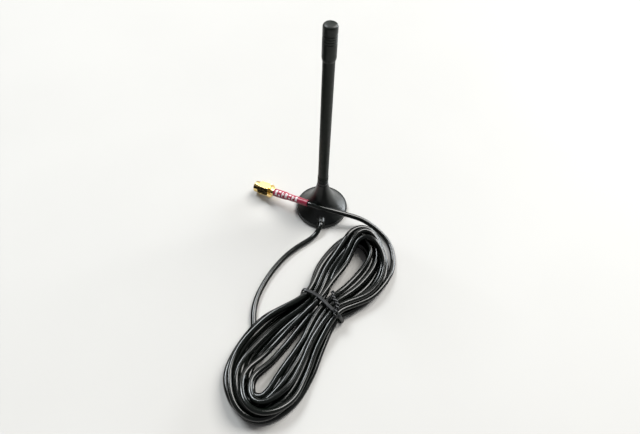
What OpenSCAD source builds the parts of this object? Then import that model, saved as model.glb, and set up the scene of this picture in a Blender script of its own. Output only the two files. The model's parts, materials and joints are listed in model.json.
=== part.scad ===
// Magnetic-base whip antenna with a coaxial lead tied in a hank and a screw-on coaxial plug.
// Millimetres. The base stands on z = 0, centred on the origin, and the whip rises along +Z.

/* [Base] */
// Diameter of the base at its rim
base_d = 31.5; // [31.5:0.5:33]
// Height at which the flared skirt ends in the neck ring
neck_z = 24; // [23:0.5:25]
// Diameter of the neck ring
neck_d = 6.3; // [6.2:0.1:6.6]
// Thickness of the vinyl pad under the magnet
pad_t = 0.35; // [0.3:0.05:0.4]
// Diameter of the magnet
magnet_d = 23; // [20:0.5:23]
// Thickness of the magnet
magnet_t = 2.35; // [1.8:0.05:2.35]

/* [Whip] */
// Outer diameter of the whip's moulded sleeve
whip_d = 5.9; // [5.8:0.1:6.2]
// Diameter of the tip cap
cap_d = 6.84; // [6.7:0.02:7]
// Height of the top of the tip cap above the table
top_z = 127.8; // [120:0.2:140]
// Length of the tip cap
cap_len = 18.2; // [17:0.2:20]
// How far the whip's thread goes into the base
thread_len = 5; // [4:0.5:6]

/* [Cable and plug] */
// Outer diameter of the coaxial cable
cable_d = 3; // [2.6:0.1:3]
// Width across the flats of the plug's nut
nut_af = 8; // [7.9:0.05:8]
// Length of the coloured heat-shrink sleeve
marker_len = 24.5; // [20:0.5:26]

/* [Hank] */
// Height of the hank of cable
hank_h = 9.6; // [8:0.2:11]
// Width of the hank at its tie
hank_waist = 23.8; // [20:0.2:26]

/* [Hidden] */
$fn = 72;
eps = 0.01;

// Base
rim_r = base_d / 2;
rim_z = 2.3;            // top of the straight rim
flare_r0 = 14.8;        // radius where the flared skirt starts, inside the rim's step
flare_top = 30;         // height at which the flare's curve would reach its least radius
flare_min = 3.05;       // that least radius
flare_pow = 2.5;        // how sharply the flare curves
wall = 1.9;             // how far the inside of the skirt lies below its outside
cavity_top = 12;        // ceiling of the space in the base
socket_r = 2.3;         // outside of the brass socket
stud_r = 1.45;          // outside of the whip's thread
socket_bore = 1.5;      // inside of the socket's thread
plate_t = 0.6;
plate_z = pad_t + magnet_t;
joint_z = 26.8;         // where the whip meets the base
boss_z = 4.3;           // height of the cable's axis in the boss
boss_r = 2.25;
boss_y = 15.2;          // how far the boss reaches from the axis
core_r = 0.75;          // inner insulation of the cable
cable_r = cable_d / 2;
clamp_y = 11.6;         // where the cable's jacket ends inside the base
clamp_r = 0.98;         // outside of the clamp over the cable's braid

// Whip
whip_r = whip_d / 2;
whip_bore = 1.9;
collar_r = 3.12;
cap_r = cap_d / 2;
cap_z = top_z - cap_len;
sleeve_top = cap_z + 3.6;
groove_count = 4;       // grooves round the cap
groove_pitch = 1.3;     // their spacing
groove_depth = 0.25;
groove_w = 0.6;
stud_top = 35;
coil_r = 1.45;          // radius of the middle of the coil's wire
coil_wire = 0.3;        // radius of the coil's wire
coil_z = 37;
coil_turns = 14;
coil_pitch = 1.6;
coil_steps = 12;        // segments in each turn
coil_end = coil_z + coil_turns * coil_pitch;
rod_r = 0.5;

// Plug, drawn along +X with its nut's back face at x = 0, then placed on the table
plug_at = [-31.9, 6.4, 6.1];
plug_heading = 152;     // direction of the plug's tip, turned from +X
plug_dip = 12;          // how far the tip points below the horizontal
nut_len = 11.4;
nut_hex = 7.7;
nut_collar_r = 3.55;
thread_r = 2.8;
shell_r = 2.295;
shell_face = 8.6;       // the plug's reference plane
pin_r = 0.457;
pin_root_r = 0.635;     // the contact where the insulator holds it
marker_x = -3;          // where the heat-shrink sleeve starts behind the nut
marker_end = marker_x - marker_len;
ferrule_end = -11;

// Hank: u runs along it and v across it, from the tie
hank_at = [2.4, -69.2];
hank_turn = 58.5;       // direction of its length, turned from +X
tie_w = 2;
tie_t = 0.9;
tie_gap = 0.35;

// The cable's routes, chosen by hand along its centre line
exit_route = [[0, -11.6, 4.3], [0, -13.5, 4.3], [0, -15.2, 4.3], [-0.3, -17, 4.1], [-1.1, -18.9, 3.4],
    [-2.4, -21.2, 2.4], [-4.6, -23.7, 1.7], [-7.6, -26.3, 1.5], [-10.6, -28.8, 1.5], [-14.4, -32.2, 1.5],
    [-17.9, -35.8, 1.5], [-21.1, -39.8, 1.5], [-23.8, -44, 1.5], [-26.3, -48.1, 1.5], [-28.3, -52.4, 1.5],
    [-30.2, -56.8, 1.5], [-31.7, -61.3, 1.5], [-32.7, -65, 1.5], [-33.3, -68.6, 1.5], [-33.5, -72, 1.5],
    [-33.4, -75.5, 1.5], [-32.9, -79, 1.5], [-31.9, -82.4, 1.5]];
lead_route = [[36.5, -52.3, 3.2], [39.1, -47.7, 2.4], [41.3, -43.4, 1.7], [42.4, -39.1, 1.5], [42.7, -34.7, 1.5],
    [42.2, -30.2, 1.5], [41, -26, 1.5], [38.9, -21.8, 1.7], [36, -18.4, 2.1], [32.6, -15.6, 2.9],
    [29.2, -13.3, 3.9], [25.4, -11.9, 5], [21.5, -11, 6.2], [17.5, -10.6, 7.4], [13.4, -10.3, 8.5],
    [9.3, -10, 9.6], [5.1, -9.7, 10.6], [1, -9.3, 11.5], [-3, -8.5, 11.9]];

// Radius of the coil's wire at its step i: the last turn closes in on the rod
function wire_path_r(i) = let (left = (coil_turns * coil_steps - i) / coil_steps)
    coil_r - (coil_r - rod_r - coil_wire) * max(0, 1 - left);

// Radius of the flared skirt at height z
function flare_at(z) = flare_min
    + (flare_r0 - flare_min) * pow(max(0, flare_top - z) / (flare_top - rim_z - 0.1), flare_pow);

// Direction of a route at its point i
function route_dir(pts, i) = let (a = pts[max(0, i - 1)], b = pts[min(len(pts) - 1, i + 1)]) (b - a) / norm(b - a);

// A tube of radius r with n sides along a route
module tube(pts, r, n = 8) {
    rings = [for (i = [0:len(pts) - 1]) let (t = route_dir(pts, i),
            side = cross(t, [0, 0, 1]) / norm(cross(t, [0, 0, 1])), up = cross(side, t))
        for (k = [0:n - 1]) pts[i] + r * (cos(360 * (k + 0.5) / n) * side + sin(360 * (k + 0.5) / n) * up)];
    last = (len(pts) - 1) * n;
    faces = concat(
        [[for (k = [0:n - 1]) k]],
        [for (i = [0:len(pts) - 2]) for (k = [0:n - 1])
            [i * n + k, (i + 1) * n + k, (i + 1) * n + (k + 1) % n, i * n + (k + 1) % n]],
        [[for (k = [n - 1:-1:0]) last + k]]);
    polyhedron(points = rings, faces = faces, convexity = 6);
}

// A solid turned about the Z axis from its outline of [radius, height] points
module turned(outline) {
    rotate_extrude() polygon(outline);
}

// A solid turned about the plug's axis from its outline of [radius, distance along the axis] points
module plug_turned(outline) {
    rotate([0, 90, 0]) turned(outline);
}

// Puts the plug's own frame where the plug lies
module in_plug_frame() {
    translate(plug_at) rotate([0, 0, plug_heading]) rotate([0, plug_dip, 0]) children();
}

// Puts the hank's own frame where the hank lies
module in_hank_frame() {
    translate([hank_at[0], hank_at[1], 0]) rotate([0, 0, hank_turn]) children();
}

module base_cover() {
    skirt = [for (z = [rim_z + 0.1:0.9:neck_z]) [flare_at(z), z]];
    inside = [for (z = [cavity_top:-1:2]) [flare_at(z + wall) - 0.1, z]];
    neck_r = neck_d / 2;
    color("#1d1e1e") difference() {
        union() {
            turned(concat([[0, 1], [rim_r - 0.6, pad_t], [rim_r - 0.3, pad_t], [rim_r, pad_t + 0.3],
                [rim_r, rim_z - 0.3], [rim_r - 0.25, rim_z], [flare_r0 + 0.15, rim_z]], skirt,
                [[neck_r - 0.1, neck_z + 0.3], [neck_r, neck_z + 0.5], [neck_r, joint_z - 0.6],
                [neck_r - 0.25, joint_z - 0.35], [neck_r - 0.25, joint_z - 0.2], [0, joint_z - 0.2]]));
            translate([0, 0, boss_z]) rotate([90, 0, 0]) cylinder(r = boss_r, h = boss_y);
            translate([-boss_r, -boss_y, rim_z - 0.3]) cube([2 * boss_r, boss_y - 8, boss_z - rim_z + 0.3]);
        }
        turned(concat([[0, -1], [rim_r - 1.6, -1], [rim_r - 1.6, 1.6]], [for (p = inside) if (p[1] <= 2) p],
            [for (i = [len(inside) - 2:-1:0]) inside[i]], [[0, cavity_top]]));
        cylinder(r = socket_r, h = joint_z);
        translate([0, -clamp_y + 1.6, boss_z]) rotate([90, 0, 0]) cylinder(r = cable_r + 0.05, h = 6);
    }
}

module base_pad() {
    color("#26272a") cylinder(r = rim_r - 1, h = pad_t);
}

module magnet() {
    color("#8d8f92") translate([0, 0, pad_t]) difference() {
        cylinder(r = magnet_d / 2, h = magnet_t);
        translate([0, 0, -1]) cylinder(r = 2.5, h = magnet_t + 2);
    }
}

module ground_plate() {
    color("#b9bcc0") translate([0, 0, plate_z]) difference() {
        cylinder(r = 10.5, h = plate_t);
        translate([0, 0, -1]) cylinder(r = 1.6, h = plate_t + 2);
    }
}

module mast_socket() {
    floor_z = joint_z - thread_len - 1.6;
    color("#c8a24a") difference() {
        union() {
            translate([0, 0, cavity_top - 1]) cylinder(r = 3.2, h = 1);
            translate([0, 0, cavity_top - eps]) cylinder(r = socket_r, h = joint_z - 0.2 - cavity_top + eps);
        }
        translate([0, 0, floor_z]) cylinder(r = socket_bore, h = joint_z);
        translate([0, 0, cavity_top - 2]) cylinder(r = 0.55, h = 4);
    }
}

module braid_clamp() {
    lug_y = -clamp_y + 3;
    color("#c9ccd0") difference() {
        union() {
            translate([0, -clamp_y + 2.4, boss_z]) rotate([90, 0, 0]) cylinder(r = clamp_r, h = 2.4);
            translate([-clamp_r, -clamp_y + 0.6, plate_z + plate_t]) cube([2 * clamp_r, 5, 0.25]);
        }
        translate([0, lug_y, boss_z]) rotate([90, 0, 0]) cylinder(r = core_r, h = 6);
    }
}

module feed_core() {
    // The cable's insulated core runs in to the axis and its wire turns up into the socket
    color("#e8e6dc") {
        translate([0, -1.2, boss_z]) rotate([90, 0, 0]) cylinder(r = core_r, h = clamp_y - 1.2);
        translate([0, 0.3, boss_z]) rotate([90, 0, 0]) cylinder(r = 0.25, h = 2);
        translate([0, 0, boss_z - 0.25]) cylinder(r = 0.25, h = cavity_top - boss_z + 1.8);
    }
}

module whip_stud() {
    bottom = joint_z - thread_len;
    color("#c8a24a") turned([[0, bottom], [stud_r - 0.3, bottom], [stud_r, bottom + 0.3], [stud_r, joint_z + 0.05],
        [whip_bore - 0.05, joint_z + 0.05], [whip_bore - 0.05, stud_top], [0.9, stud_top], [0.9, coil_z + 1.5],
        [0, coil_z + 1.5]]);
}

module whip_sleeve() {
    color("#242522") turned([[whip_bore, joint_z], [collar_r - 0.25, joint_z], [collar_r, joint_z + 0.25],
        [collar_r, joint_z + 2.3], [collar_r - 0.3, joint_z + 2.6], [collar_r - 0.3, joint_z + 3],
        [collar_r, joint_z + 3.2], [collar_r, joint_z + 3.6], [whip_r, joint_z + 3.9], [whip_r, sleeve_top],
        [whip_bore, sleeve_top]]);
}

module whip_cap() {
    grooves_z = top_z - 4.7;
    crown = 0.9;
    color("#1f201f") difference() {
        turned([[0, cap_z], [whip_r + 0.02, cap_z], [cap_r, cap_z + 1.5], [cap_r, top_z - 1.3],
            [cap_r - 0.25, top_z - 0.65], [cap_r - crown, top_z - 0.2], [1.5, top_z - 0.05], [0, top_z]]);
        translate([0, 0, cap_z - 1]) cylinder(r = whip_r, h = sleeve_top - cap_z + 1);
        translate([0, 0, cap_z]) cylinder(r = whip_bore, h = 13);
        for (i = [0:groove_count - 1]) translate([0, 0, grooves_z - i * groove_pitch]) difference() {
            cylinder(r = cap_r + 1, h = groove_w, center = true);
            cylinder(r = cap_r - groove_depth, h = 2 * groove_w, center = true);
        }
    }
}

module radiator_coil() {
    // A round-wire spring, swept as a five-sided tube
    turn = 360 / coil_steps;
    count = coil_turns * coil_steps;
    sides = 5;
    last = count * sides;
    points = [for (i = [0:count]) for (k = [0:sides - 1]) let (a = i * turn, b = 360 * k / sides,
            r = wire_path_r(i) + coil_wire * cos(b))
        [r * cos(a), r * sin(a), coil_z + coil_pitch * i / coil_steps + coil_wire * sin(b)]];
    faces = concat(
        [for (k = [1:sides - 2]) [0, k, k + 1]],
        [for (i = [0:count - 1]) for (k = [0:sides - 1])
            [i * sides + k, (i + 1) * sides + k, (i + 1) * sides + (k + 1) % sides]],
        [for (i = [0:count - 1]) for (k = [0:sides - 1])
            [i * sides + k, (i + 1) * sides + (k + 1) % sides, i * sides + (k + 1) % sides]],
        [for (k = [1:sides - 2]) [last, last + k + 1, last + k]]);
    color("#b87333") polyhedron(points = points, faces = faces, convexity = 10);
}

module rod_spacer() {
    color("#dedbd0") translate([0, 0, coil_end + 0.8]) difference() {
        cylinder(r = whip_bore - 0.05, h = 4);
        translate([0, 0, -1]) cylinder(r = rod_r, h = 6);
    }
}

module radiator_rod() {
    bottom = coil_end - 1.2;
    color("#b87333") translate([0, 0, bottom]) cylinder(r = rod_r, h = sleeve_top + 4 - bottom);
}

module cable_exit_run() {
    color("#161717") tube(exit_route, cable_r);
}

module cable_lead_run() {
    // The lead goes on through the heat-shrink sleeve to the crimped ferrule
    a = [cos(plug_heading) * cos(plug_dip), sin(plug_heading) * cos(plug_dip), -sin(plug_dip)];
    color("#161717") tube(concat(lead_route, [for (x = [marker_end - 1, marker_end + 5, ferrule_end])
        plug_at + x * a]), cable_r);
}

module hank_outline() {
    hull() {
        circle(r = hank_waist / 2, $fn = 32);
        translate([27, -4]) circle(r = 18.2, $fn = 32);
    }
    hull() {
        translate([27, -4]) circle(r = 18.2, $fn = 32);
        translate([40, -1]) circle(r = 16.5, $fn = 32);
    }
    hull() {
        circle(r = hank_waist / 2, $fn = 32);
        translate([-27, 4.3]) circle(r = 17.3, $fn = 32);
    }
    hull() {
        translate([-27, 4.3]) circle(r = 17.3, $fn = 32);
        translate([-40, 4]) circle(r = 19.5, $fn = 32);
    }
    hull() {
        translate([-40, 4]) circle(r = 19.5, $fn = 32);
        translate([-51, -2]) circle(r = 17.6, $fn = 32);
    }
}

module cable_hank() {
    channel = tie_t + 0.15;
    color("#161717") in_hank_frame() difference() {
        linear_extrude(height = hank_h) hank_outline();
        translate([-tie_w / 2 - 0.2, 0, 0]) difference() {
            translate([0, -hank_waist, -1]) cube([tie_w + 0.4, 2 * hank_waist, hank_h + 2]);
            translate([-1, -hank_waist / 2, channel]) cube([tie_w + 3, hank_waist, hank_h]);
        }
    }
}

module twist_tie() {
    half = hank_waist / 2 + tie_gap + 0.2;
    top = hank_h + 0.1;
    color("#2b2c30") in_hank_frame() {
        rotate([90, 0, 90]) translate([0, 0, -tie_w / 2]) linear_extrude(height = tie_w) difference() {
            translate([-half - tie_t, 0.05]) square([2 * (half + tie_t), top + tie_t]);
            translate([-half, tie_t + 0.05]) square([2 * half, top - tie_t - 0.05]);
        }
        // The two ends, twisted together over the strands
        translate([1, -6.5, top + 0.9]) rotate([0, 90, -35]) cylinder(r = 0.9, h = 8);
    }
}

module marker_sleeve() {
    over = ferrule_end - 1;
    color("#b03246") in_plug_frame() plug_turned([[2.05, marker_x], [2.45, marker_x], [2.45, over],
        [2.05, over - 1.6], [2.05, marker_end], [cable_r + 0.03, marker_end], [cable_r + 0.03, over - 1],
        [2.05, over]]);
}

module crimp_ferrule() {
    color("#d9b650") in_plug_frame() plug_turned([[1.3, marker_x], [2, marker_x], [2, ferrule_end],
        [1.3, ferrule_end]]);
}

module plug_cable_core() {
    color("#e8e6dc") in_plug_frame() plug_turned([[0, -1.6], [core_r, -1.6], [core_r, ferrule_end],
        [0, ferrule_end]]);
}

module plug_shell() {
    color("#d9b650") in_plug_frame() plug_turned([[core_r, -8], [1.3, -8], [1.3, marker_x], [2.5, marker_x],
        [2.5, -0.15], [2.1, -0.15], [2.1, 3.4], [shell_r, 3.4], [shell_r, shell_face - 0.2],
        [shell_r - 0.15, shell_face], [1.9, shell_face], [1.9, 3.4], [1.55, 3.4], [1.55, -1.5],
        [core_r, -1.5]]);
}

module plug_dielectric() {
    color("#f1efe8") in_plug_frame() plug_turned([[pin_root_r, -1.5], [1.55, -1.5], [1.55, 3.4], [1.9, 3.4],
        [1.9, shell_face], [pin_root_r, shell_face]]);
}

module plug_pin() {
    color("#e0bd5a") in_plug_frame() plug_turned([[0, -1.5], [pin_root_r, -1.5], [pin_root_r, shell_face],
        [pin_r, shell_face], [pin_r, shell_face + 1.9], [pin_r - 0.25, shell_face + 2.3],
        [0, shell_face + 2.3]]);
}

module plug_snap_ring() {
    color("#c9a648") in_plug_frame() plug_turned([[2.1, 2.35], [2.7, 2.35], [2.7, 3.15], [2.1, 3.15]]);
}

module plug_gasket() {
    color("#c5503a") in_plug_frame() plug_turned([[shell_r, 3.6], [2.65, 3.6], [2.65, 4.4], [shell_r, 4.4]]);
}

module plug_nut() {
    chamfer = 0.45;
    corner = nut_af / 2 / cos(30);
    color("#dcb94f") in_plug_frame() difference() {
        union() {
            intersection() {
                rotate([30, 0, 0]) rotate([0, 90, 0]) cylinder(r = corner, h = nut_hex, $fn = 6);
                plug_turned([[0, 0], [corner - chamfer, 0], [corner, chamfer], [corner, nut_hex - chamfer],
                    [corner - chamfer, nut_hex], [0, nut_hex]]);
            }
            plug_turned([[0, nut_hex - eps], [nut_collar_r, nut_hex - eps], [nut_collar_r, nut_len - 0.3],
                [nut_collar_r - 0.3, nut_len], [0, nut_len]]);
        }
        rotate([0, 90, 0]) translate([0, 0, -1]) cylinder(r = 2.15, h = nut_len);
        rotate([0, 90, 0]) translate([0, 0, 2.25]) cylinder(r = 2.95, h = 1.05);
        rotate([0, 90, 0]) translate([0, 0, 3.3 - eps]) cylinder(r = thread_r, h = nut_len);
        plug_turned([[0, nut_len - 0.3], [thread_r, nut_len - 0.3], [thread_r + 0.4, nut_len + 0.1],
            [0, nut_len + 0.1]]);
    }
}

base_cover();
base_pad();
magnet();
ground_plate();
mast_socket();
braid_clamp();
feed_core();
whip_stud();
whip_sleeve();
whip_cap();
radiator_coil();
rod_spacer();
radiator_rod();
cable_exit_run();
cable_hank();
cable_lead_run();
twist_tie();
marker_sleeve();
crimp_ferrule();
plug_cable_core();
plug_shell();
plug_dielectric();
plug_pin();
plug_snap_ring();
plug_gasket();
plug_nut();
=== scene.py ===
"""Looks of the magnetic-base whip antenna with its hank of cable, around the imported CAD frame.

Everything is in metres and in the row frame. The cord is laid first, then the moulded base, the whip,
the plug and its sleeve, and the tie round the hank.
"""
import json
import math

import bmesh
import bpy
import numpy as np
from mathutils import Matrix, Vector


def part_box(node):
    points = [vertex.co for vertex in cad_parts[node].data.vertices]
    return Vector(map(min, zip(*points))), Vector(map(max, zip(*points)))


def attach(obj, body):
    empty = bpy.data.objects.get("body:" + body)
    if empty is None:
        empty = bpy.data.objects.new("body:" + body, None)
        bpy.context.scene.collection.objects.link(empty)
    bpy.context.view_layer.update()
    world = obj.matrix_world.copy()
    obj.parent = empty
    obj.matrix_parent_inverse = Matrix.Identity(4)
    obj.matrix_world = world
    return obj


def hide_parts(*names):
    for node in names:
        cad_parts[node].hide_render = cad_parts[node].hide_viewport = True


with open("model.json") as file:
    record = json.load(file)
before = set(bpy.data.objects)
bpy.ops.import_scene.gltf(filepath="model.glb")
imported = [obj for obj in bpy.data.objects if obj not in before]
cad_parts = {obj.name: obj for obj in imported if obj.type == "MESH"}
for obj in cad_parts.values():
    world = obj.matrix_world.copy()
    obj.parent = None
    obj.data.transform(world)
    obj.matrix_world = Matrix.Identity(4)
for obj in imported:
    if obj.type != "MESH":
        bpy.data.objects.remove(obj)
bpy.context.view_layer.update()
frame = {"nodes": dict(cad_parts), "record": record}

# ---------------------------------------------------------------- sizes

CABLE_D = 0.003
CABLE_R = CABLE_D / 2

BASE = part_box("base_cover")
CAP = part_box("whip_cap")
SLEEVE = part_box("whip_sleeve")
TOP_Z = CAP[1][2]
RIM_R = BASE[1][0]
JOINT_Z = SLEEVE[0][2]

PLUG_AT = (-0.0319, 0.0064, 0.0061)
PLUG_HEADING = math.radians(152)
PLUG_DIP = math.radians(12)

HANK_AT = np.array([0.0024, -0.0692])
HANK_TURN = math.radians(58.5)
HANK_ALONG = np.array([math.cos(HANK_TURN), math.sin(HANK_TURN)])
HANK_ACROSS = np.array([math.sin(HANK_TURN), -math.cos(HANK_TURN)])
TIE_T = 0.0009
TIE_HALF = 0.0104

# ---------------------------------------------------------------- the cord's route

# The stretches that aren't coiled, along the cord's centre line
EXIT_ROUTE = [
    (0, -0.0116, 0.0043), (0, -0.0135, 0.0043), (0, -0.0152, 0.0043), (-0.0003, -0.017, 0.0041),
    (-0.0011, -0.0189, 0.0034), (-0.0024, -0.0212, 0.0024), (-0.0046, -0.0237, 0.0017),
    (-0.0076, -0.0263, 0.0015), (-0.0106, -0.0288, 0.0015), (-0.0144, -0.0322, 0.0015),
    (-0.0179, -0.0358, 0.0015), (-0.0211, -0.0398, 0.0015), (-0.0238, -0.044, 0.0015),
    (-0.0263, -0.0481, 0.0015), (-0.0283, -0.0524, 0.0015), (-0.0302, -0.0568, 0.0015),
    (-0.0317, -0.0613, 0.0015), (-0.0327, -0.065, 0.0015), (-0.0333, -0.0686, 0.0015),
    (-0.0335, -0.072, 0.0015), (-0.0334, -0.0755, 0.0015), (-0.0329, -0.079, 0.0015),
    (-0.0319, -0.0824, 0.0015),
]
LEAD_ROUTE = [
    (0.0365, -0.0523, 0.0032), (0.0391, -0.0477, 0.0024), (0.0413, -0.0434, 0.0017),
    (0.0424, -0.0391, 0.0015), (0.0427, -0.0347, 0.0015), (0.0422, -0.0302, 0.0015),
    (0.041, -0.026, 0.0015), (0.0389, -0.0218, 0.0017), (0.036, -0.0184, 0.0021),
    (0.0326, -0.0156, 0.0029), (0.0292, -0.0133, 0.0039), (0.0254, -0.0119, 0.005),
    (0.0215, -0.011, 0.0062), (0.0175, -0.0106, 0.0074), (0.0134, -0.0103, 0.0085),
    (0.0093, -0.01, 0.0096), (0.0051, -0.0097, 0.0106), (0.001, -0.0093, 0.0115),
    (-0.003, -0.0085, 0.0119),
]

# The hank's two lobes, as (u, w): u along the hank from the tie, w to the right. Each lobe has the
# line of its outermost turn and of its innermost, in the order that the cord runs round it.
LOWER_OUTER = [
    (-0.020, -0.0188), (-0.030, -0.0208), (-0.040, -0.0213), (-0.0495, -0.0195), (-0.0562, -0.016),
    (-0.0615, -0.0105), (-0.0655, -0.0035), (-0.0665, 0.004), (-0.0635, 0.0105), (-0.057, 0.0148),
    (-0.048, 0.0164), (-0.035, 0.0143), (-0.020, 0.0106),
]
LOWER_INNER = [
    (-0.020, -0.0014), (-0.030, -0.0028), (-0.040, -0.0039), (-0.047, -0.005), (-0.052, -0.0045),
    (-0.0555, -0.0015), (-0.0570, 0.0015), (-0.0550, 0.0038), (-0.0505, 0.0044), (-0.045, 0.0040),
    (-0.038, 0.0034), (-0.028, 0.0026), (-0.020, 0.0018),
]
UPPER_OUTER = [
    (0.020, 0.0180), (0.031, 0.0186), (0.040, 0.0163), (0.0475, 0.0112), (0.0525, 0.0050),
    (0.0555, -0.0030), (0.0535, -0.0085), (0.048, -0.0117), (0.040, -0.0130), (0.031, -0.0135),
    (0.020, -0.0135),
]
UPPER_INNER = [
    (0.020, 0.0050), (0.030, 0.0066), (0.037, 0.0066), (0.0415, 0.0055), (0.0440, 0.0030),
    (0.0445, 0.0005), (0.0435, -0.0018), (0.040, -0.0030), (0.036, -0.0031), (0.030, -0.0029),
    (0.020, -0.0024),
]
TIE_LEFT = (-TIE_HALF, -0.0002)
TIE_RIGHT = (TIE_HALF, 0.0008)

# Each turn's place where it comes into a lobe, at the lobe's end and where it leaves: 0 is outermost
LOWER_NEST = [
    (0.35, 0.35, 0.30), (0.08, 0.10, 0.10), (0.36, 0.40, 0.50), (0.93, 0.78, 0.75), (0, 0, 0.90),
    (0.20, 0.60, 0.65), (0.55, 1, 1), (0.03, 0.03, 0.13), (0.38, 0.20, 0.25), (1, 0.75, 0.42),
    (0.72, 0.33, 0),
]
UPPER_NEST = [
    (0.30, 0.30, 0.05), (0.10, 0.15, 0.36), (0.55, 0.55, 0.62), (0.80, 0.60, 0.10), (0.95, 0.90, 0.30),
    (0.65, 0.50, 0.50), (1, 0.75, 0.05), (0.14, 0.05, 0.38), (0.10, 0.32, 0.76), (0.04, 0.60, 1),
]
# The openings that the stiff turns keep clear: from and to, and half their width
OPENINGS = [
    ((0.013, 0.0012), (0.035, 0.0016), 0.0022),
    ((-0.021, 0.0006), (-0.046, 0.0002), 0.0016),
    ((-0.027, -0.0046), (-0.044, -0.0068), 0.0006),
]


def mix(pair, share):
    """The value that lies at a share of the way between the two of a pair."""
    return pair[0] + (pair[1] - pair[0]) * share


def hank_point(u, w, level):
    """A point of the hank in the row frame, at a level of the pile."""
    return (*(HANK_AT + u * HANK_ALONG + w * HANK_ACROSS), level)


def lobe_turn(outer, inner, nest, level):
    """One turn's points round a lobe."""
    last = len(outer) - 1
    points = []
    for i, (far, near) in enumerate(zip(outer, inner)):
        share = np.interp(i / last, (0.15, 0.5, 0.85), nest)
        points.append(hank_point(mix((far[0], near[0]), share), mix((far[1], near[1]), share), level))
    return points


def tie_point(lane, first, second, level):
    """A turn's place under the tie, between its places in the lobes on either side."""
    return hank_point(0, mix(lane, (first + second) / 2), level)


def hank_turns():
    """The cord's target in the hank: x, y and the turn's level, from the exit run to the lead."""
    points = []
    for turn, lower in enumerate(LOWER_NEST):
        around = lobe_turn(LOWER_OUTER, LOWER_INNER, lower, turn)
        points += around[3:] if turn == 0 else around
        right_next = UPPER_NEST[turn][0] if turn < len(UPPER_NEST) else 0
        points.append(tie_point(TIE_RIGHT, lower[2], right_next, turn + 0.25))
        if turn < len(UPPER_NEST):
            points += lobe_turn(UPPER_OUTER, UPPER_INNER, UPPER_NEST[turn], turn + 0.5)
            points.append(tie_point(TIE_LEFT, UPPER_NEST[turn][2], LOWER_NEST[turn + 1][0], turn + 0.75))
    return points


def spline(points, step):
    """A centripetal Catmull-Rom curve through the points, with a node at each step of its plan."""
    p = np.array(points, float)
    ends = np.vstack([2 * p[0] - p[1], p, 2 * p[-1] - p[-2]])
    pieces = []
    for i in range(len(p) - 1):
        a, b, c, d = ends[i:i + 4]
        t0, t1 = 0, np.linalg.norm((b - a)[:2]) ** 0.5
        t2 = t1 + np.linalg.norm((c - b)[:2]) ** 0.5
        t3 = t2 + np.linalg.norm((d - c)[:2]) ** 0.5
        t = np.linspace(t1, t2, 24, endpoint=False)[:, None]
        ab = (t1 - t) / (t1 - t0) * a + (t - t0) / (t1 - t0) * b
        bc = (t2 - t) / (t2 - t1) * b + (t - t1) / (t2 - t1) * c
        cd = (t3 - t) / (t3 - t2) * c + (t - t2) / (t3 - t2) * d
        abc = (t2 - t) / (t2 - t0) * ab + (t - t0) / (t2 - t0) * bc
        bcd = (t3 - t) / (t3 - t1) * bc + (t - t1) / (t3 - t1) * cd
        pieces.append((t2 - t) / (t2 - t1) * abc + (t - t1) / (t2 - t1) * bcd)
    return resample(np.vstack(pieces + [p[-1:]]), step, 2)


def resample(points, step, dims=3):
    """The line through the points, with a point at each step of its length in its first dims axes."""
    gone = np.concatenate([[0], np.cumsum(np.linalg.norm(np.diff(points[:, :dims], axis=0), axis=1))])
    at = np.linspace(0, gone[-1], int(round(gone[-1] / step)) + 1)
    return np.stack([np.interp(at, gone, points[:, k]) for k in range(points.shape[1])], 1)


def spline3(points, step):
    """A Catmull-Rom curve through points in space, evenly stepped."""
    p = np.array(points, float)
    ends = np.vstack([2 * p[0] - p[1], p, 2 * p[-1] - p[-2]])
    pieces = []
    for i in range(len(p) - 1):
        a, b, c, d = ends[i:i + 4]
        t = np.linspace(0, 1, 12, endpoint=False)[:, None]
        pieces.append(0.5 * (2 * b + (c - a) * t + (2 * a - 5 * b + 4 * c - d) * t ** 2
                             + (3 * b - a - 3 * c + d) * t ** 3))
    return resample(np.vstack(pieces + [p[-1:]]), step)


def nearest_on(p1, q1, p2, q2):
    """How far along two segments, row by row, their nearest points lie."""
    d1, d2, r = q1 - p1, q2 - p2, p1 - p2
    a, e, f = (d1 * d1).sum(1), (d2 * d2).sum(1), (d2 * r).sum(1)
    c, b = (d1 * r).sum(1), (d1 * d2).sum(1)
    s = np.clip((b * f - c * e) / np.maximum(a * e - b * b, 1e-15), 0, 1)
    t = np.clip((b * s + f) / e, 0, 1)
    s = np.clip((b * t - c) / a, 0, 1)
    return s, t


def spread(size, parts):
    """Sums pushes at segment ends into a push at each node, softened where many meet."""
    total, count = np.zeros((size, 3)), np.zeros(size)
    for nodes, share, push in parts:
        for k in range(3):
            total[:, k] += np.bincount(nodes, share * push[:, k], size)
        count += np.bincount(nodes, share, size)
    return total / np.maximum(1, 0.75 * count)[:, None]


def unbent(x, reach):
    """How far each point is from the smooth line through its neighbours at 1 and 2 times the reach."""
    bend = np.zeros_like(x)
    n, k = len(x), reach
    bend[2 * k:n - 2 * k] = (
        (4 * x[k:n - 3 * k] + 4 * x[3 * k:n - k] - x[:n - 4 * k] - x[4 * k:]) / 6 - x[2 * k:n - 2 * k])
    return bend


def keep_clear(plan):
    """The moves that take points of the cord out of the hank's openings."""
    move = np.zeros_like(plan)
    for start, end, half in OPENINGS:
        a, b = (np.array(hank_point(u, w, 0)[:2]) for u, w in (start, end))
        share = np.clip((plan - a) @ (b - a) / ((b - a) @ (b - a)), 0, 1)
        away = plan - a - share[:, None] * (b - a)
        size = np.linalg.norm(away, axis=1)
        short = np.clip(half + CABLE_R - size, 0, None)
        move += 0.5 * (short / np.maximum(size, 1e-9))[:, None] * away
    return move


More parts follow.
